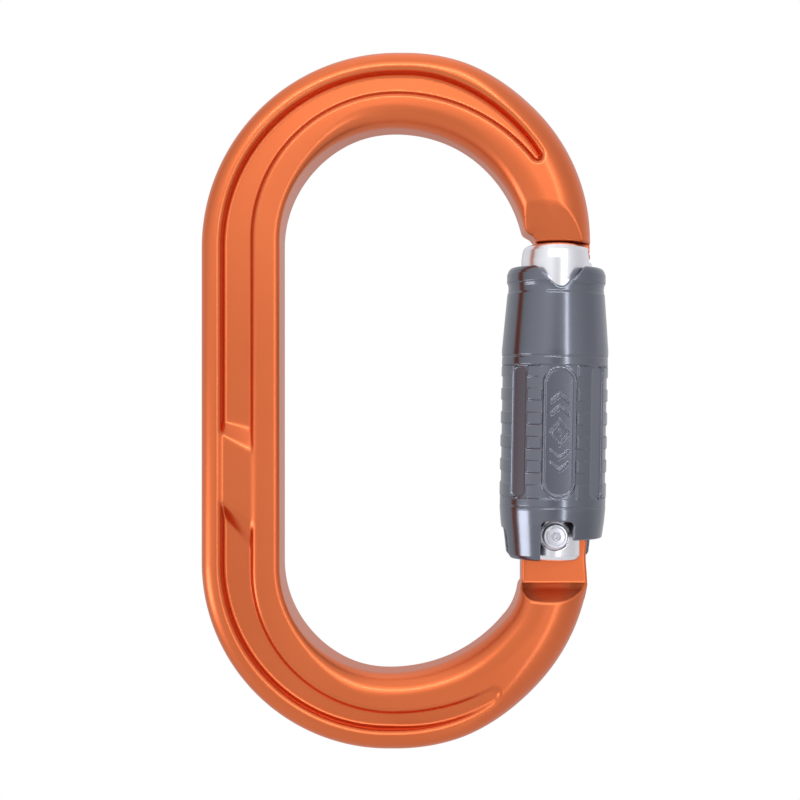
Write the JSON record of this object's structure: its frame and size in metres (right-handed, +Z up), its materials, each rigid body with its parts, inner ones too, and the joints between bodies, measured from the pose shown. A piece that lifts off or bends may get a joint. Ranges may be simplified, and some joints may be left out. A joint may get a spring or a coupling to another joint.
{
  "type": "locking oval carabiner",
  "caption": "Oval locking carabiner: forged ring with a channelled face, sprung hinged gate and a ribbed locking sleeve that lifts and twists.",
  "frame": {"origin": "centre of the whole part's bounding box, ring upright", "axes": "+Z up along the ring's long axis, +X towards the gate, -Y out of the front face"},
  "size_m": [0.065, 0.017, 0.1104],
  "materials": {
    "orange_anodised": "satin orange anodised",
    "grey_anodised": "semi-gloss dark grey anodised",
    "clear_anodised": "satin clear anodised",
    "rivet_steel": "satin",
    "plain_steel": "turned",
    "spring_steel": "drawn wire",
    "liner_brass": "machined"
  },
  "bodies": {
    "frame": {"body": "orange_anodised"},
    "gate": {"gate": "clear_anodised", "hinge_rivet": "rivet_steel", "retaining_ring": "spring_steel", "guide_pin": "plain_steel", "plunger_spring": "spring_steel", "sleeve_spring": "spring_steel"},
    "plunger": {"plunger": "plain_steel"},
    "lift_carrier": {"lift_washer": "plain_steel"},
    "sleeve": {"sleeve": "grey_anodised", "sleeve_liner": "liner_brass"}
  },
  "joints": [
    {"name": "gate_swing", "type": "hinge", "parent": "frame", "child": "gate", "pos_m": [0.02345, 0, -0.02135], "axis": [0, -1, 0], "range_deg": [0, 40], "stiffness_Nm_per_rad": 0.05, "springref_deg": -34.38},
    {"name": "plunger_slide", "type": "slide", "parent": "gate", "child": "plunger", "axis": [0.0175, 0, 0.9998], "range_m": [0, 0.0008], "deforming": ["plunger_spring"]},
    {"name": "sleeve_lift", "type": "slide", "parent": "gate", "child": "lift_carrier", "axis": [0.0175, 0, 0.9998], "range_m": [0, 0.003], "stiffness_N_per_m": 600, "springref_m": -0.008, "deforming": ["sleeve_spring"]},
    {"name": "sleeve_twist", "type": "hinge", "parent": "lift_carrier", "child": "sleeve", "pos_m": [0.02345, 0, -0.02135], "axis": [-0.0175, 0, -0.9998], "range_deg": [0, 90], "stiffness_Nm_per_rad": 0.02, "springref_deg": -28.65}
  ],
  "couplings": [
    {"joint": "plunger_slide", "follows": "gate_swing", "m_per_rad": 0.00102}
  ]
}
